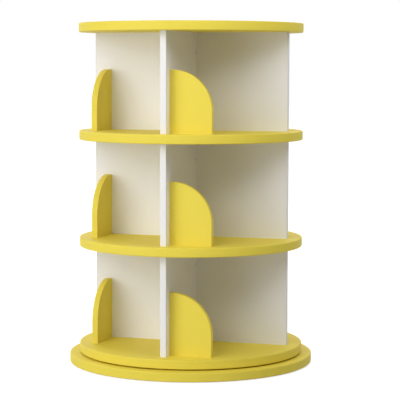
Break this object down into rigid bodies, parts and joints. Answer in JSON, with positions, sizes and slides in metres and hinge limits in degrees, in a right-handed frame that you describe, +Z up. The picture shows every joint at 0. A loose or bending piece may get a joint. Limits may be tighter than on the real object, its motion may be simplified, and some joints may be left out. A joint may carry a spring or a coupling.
{
  "type": "revolving desktop bookcase",
  "caption": "Round tiered bookcase that turns on a ring bearing: yellow discs, white pinwheel panels and quarter-arch book stops on a wider fixed base.",
  "frame": {"origin": "on the table under the middle of the base, on the turning axis", "axes": "+Z up along the turning axis; each tier's front panel points towards -Y at rest"},
  "size_m": [0.4899, 0.49, 0.6825],
  "materials": {
    "yellow_board": "satin yellow paint on fibreboard with softly rounded edges",
    "white_board": "satin warm white laminate on fibreboard",
    "beech": "bare beech dowel",
    "bearing_aluminium": "turned, satin",
    "ball_steel": "polished",
    "cage_plastic": "matte natural nylon",
    "zinc_steel": "zinc plated",
    "foot_rubber": "matte"
  },
  "bodies": {
    "base": {"base_disc": "yellow_board", "rubber_feet": "foot_rubber", "bearing_outer_ring": "bearing_aluminium", "bearing_base_screws": "zinc_steel"},
    "carousel": {"turntable_disc": "yellow_board", "middle_shelf": "yellow_board", "upper_shelf": "yellow_board", "top_disc": "yellow_board", "lower_front_panel": "white_board", "lower_front_book_stop": "yellow_board", "lower_right_panel": "white_board", "lower_right_book_stop": "yellow_board", "lower_back_panel": "white_board", "lower_back_book_stop": "yellow_board", "lower_left_panel": "white_board", "lower_left_book_stop": "yellow_board", "lower_hub_screws": "zinc_steel", "lower_book_stop_dowels": "beech", "middle_front_panel": "white_board", "middle_front_book_stop": "yellow_board", "middle_right_panel": "white_board", "middle_right_book_stop": "yellow_board", "middle_back_panel": "white_board", "middle_back_book_stop": "yellow_board", "middle_left_panel": "white_board", "middle_left_book_stop": "yellow_board", "middle_hub_screws": "zinc_steel", "middle_book_stop_dowels": "beech", "upper_front_panel": "white_board", "upper_front_book_stop": "yellow_board", "upper_right_panel": "white_board", "upper_right_book_stop": "yellow_board", "upper_back_panel": "white_board", "upper_back_book_stop": "yellow_board", "upper_left_panel": "white_board", "upper_left_book_stop": "yellow_board", "upper_hub_screws": "zinc_steel", "upper_book_stop_dowels": "beech", "middle_shelf_dowels": "beech", "upper_shelf_dowels": "beech", "top_disc_dowels": "beech", "bearing_inner_ring": "bearing_aluminium", "bearing_turntable_screws": "zinc_steel", "turntable_panel_screws": "zinc_steel"},
    "ball_cage": {"bearing_ball_cage": "cage_plastic", "bearing_balls": "ball_steel"}
  },
  "joints": [
    {"name": "carousel_spin", "type": "hinge", "parent": "base", "child": "carousel", "pos_m": [0, 0, 0.0225], "axis": [0, 0, 1], "continuous": true},
    {"name": "ball_cage_spin", "type": "hinge", "parent": "base", "child": "ball_cage", "pos_m": [0, 0, 0.01825], "axis": [0, 0, 1], "continuous": true}
  ],
  "couplings": [
    {"joint": "ball_cage_spin", "follows": "carousel_spin", "ratio": 0.49}
  ]
}
